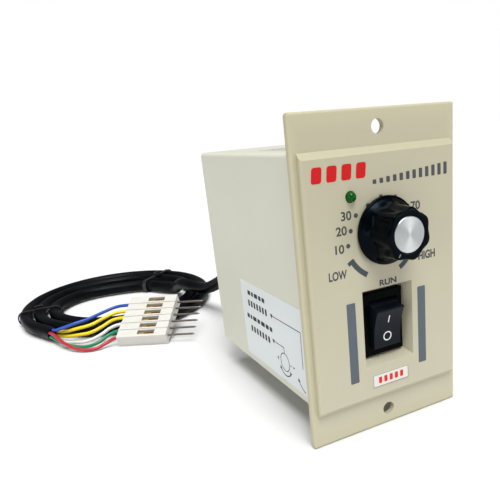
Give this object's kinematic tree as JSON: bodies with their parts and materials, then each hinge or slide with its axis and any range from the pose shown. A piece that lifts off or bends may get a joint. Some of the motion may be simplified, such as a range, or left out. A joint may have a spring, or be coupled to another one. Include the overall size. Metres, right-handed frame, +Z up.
{
  "type": "ac motor speed controller",
  "caption": "Panel-mounted speed controller with a rotary dial knob, a rocker run switch, a lamp, a deep box behind the panel, and a coiled lead with a pin connector.",
  "frame": {"origin": "centre of the flange's rear mounting face, midway between the two mounting holes", "axes": "+Y along the box away from the panel, the front faces -Y; +Z up, the row of the two mounting holes; +X to the right seen from the front"},
  "size_m": [0.1413, 0.3003, 0.105],
  "materials": {
    "panel_abs": "fine grain",
    "box_abs": "fine grain",
    "black_rubber": "matt",
    "lamp_lens": "clear green",
    "tinned": "tinned",
    "knob_black": "gloss",
    "cap_metal": "spun",
    "brass": "plain",
    "dark_steel": "blackened",
    "shaft_steel": "turned",
    "dark_plastic": "plain",
    "zinc": "zinc plated",
    "switch_black": "semi-gloss",
    "plunger_nylon": "plain",
    "copper": "plain",
    "board_green": "solder mask",
    "wire_red": "plain",
    "film_red": "dipped",
    "can_blue": "sleeved",
    "sink_alu": "extruded",
    "ceramic_white": "matt",
    "fuse_glass": "clear",
    "ferrite": "matt",
    "winding_copper": "enamelled",
    "varistor_blue": "dipped",
    "resistor_tan": "lacquered",
    "block_green": "plain",
    "wire_blue": "plain",
    "wire_black": "plain",
    "jacket": "semi-matt",
    "tie_black": "plain",
    "wire_yellow": "plain",
    "wire_white": "plain",
    "wire_green": "plain",
    "comb_nylon": "translucent",
    "pin_tin": "tinned",
    "label_white": "printed film"
  },
  "bodies": {
    "case": {"front_panel": "panel_abs", "housing": "box_abs", "strain_relief": "black_rubber", "status_lamp": "lamp_lens", "lamp_legs": "tinned", "pot_bushing": "zinc", "pot_case": "dark_plastic", "pot_track": "dark_plastic", "pot_legs": "tinned", "pot_washer": "zinc", "pot_nut": "zinc", "switch_body": "switch_black", "switch_terminals": "brass", "front_board": "board_green", "front_board_screws": "zinc", "board_link": "wire_red", "main_board": "board_green", "film_capacitor": "film_red", "bulk_capacitors": "can_blue", "heat_sink": "sink_alu", "triac": "dark_plastic", "triac_screw": "zinc", "power_resistor": "ceramic_white", "fuse": "fuse_glass", "fuse_clips": "brass", "choke_core": "ferrite", "choke_winding": "winding_copper", "control_chip": "dark_plastic", "varistor": "varistor_blue", "diodes": "dark_plastic", "small_resistors": "resistor_tan", "terminal_block": "block_green", "inner_cores": "wire_blue", "switch_wires": "wire_black", "cord_lead": "jacket", "cord_coil": "jacket", "coil_tie_left": "tie_black", "coil_tie_right": "tie_black", "core_blue": "wire_blue", "core_yellow_upper": "wire_yellow", "core_yellow_lower": "wire_yellow", "core_white": "wire_white", "core_green": "wire_green", "core_red": "wire_red", "connector_housing": "comb_nylon", "connector_terminals": "brass", "connector_pins": "pin_tin", "side_label": "label_white", "top_label": "label_white", "front_sticker": "label_white"},
    "knob": {"knob": "knob_black", "knob_cap": "cap_metal", "knob_insert": "brass", "knob_grub_screw": "dark_steel", "pot_shaft": "shaft_steel", "pot_wiper": "dark_plastic"},
    "rocker": {"switch_rocker": "switch_black", "switch_plunger": "plunger_nylon", "plunger_spring": "shaft_steel"},
    "lever": {"contact_lever": "copper"}
  },
  "joints": [
    {"name": "knob_turn", "type": "hinge", "parent": "case", "child": "knob", "pos_m": [0, -0.01, 0.016], "axis": [0, 1, 0], "range_deg": [0, 270]},
    {"name": "rocker_press", "type": "hinge", "parent": "case", "child": "rocker", "pos_m": [0, 0.0024, -0.0153], "axis": [-1, 0, 0], "range_deg": [0, 22]},
    {"name": "contact_tilt", "type": "hinge", "parent": "case", "child": "lever", "pos_m": [0, 0.0095, -0.0153], "axis": [1, 0, 0], "range_deg": [0, 12]}
  ],
  "couplings": [
    {"joint": "contact_tilt", "follows": "rocker_press", "ratio": 0.54545}
  ]
}
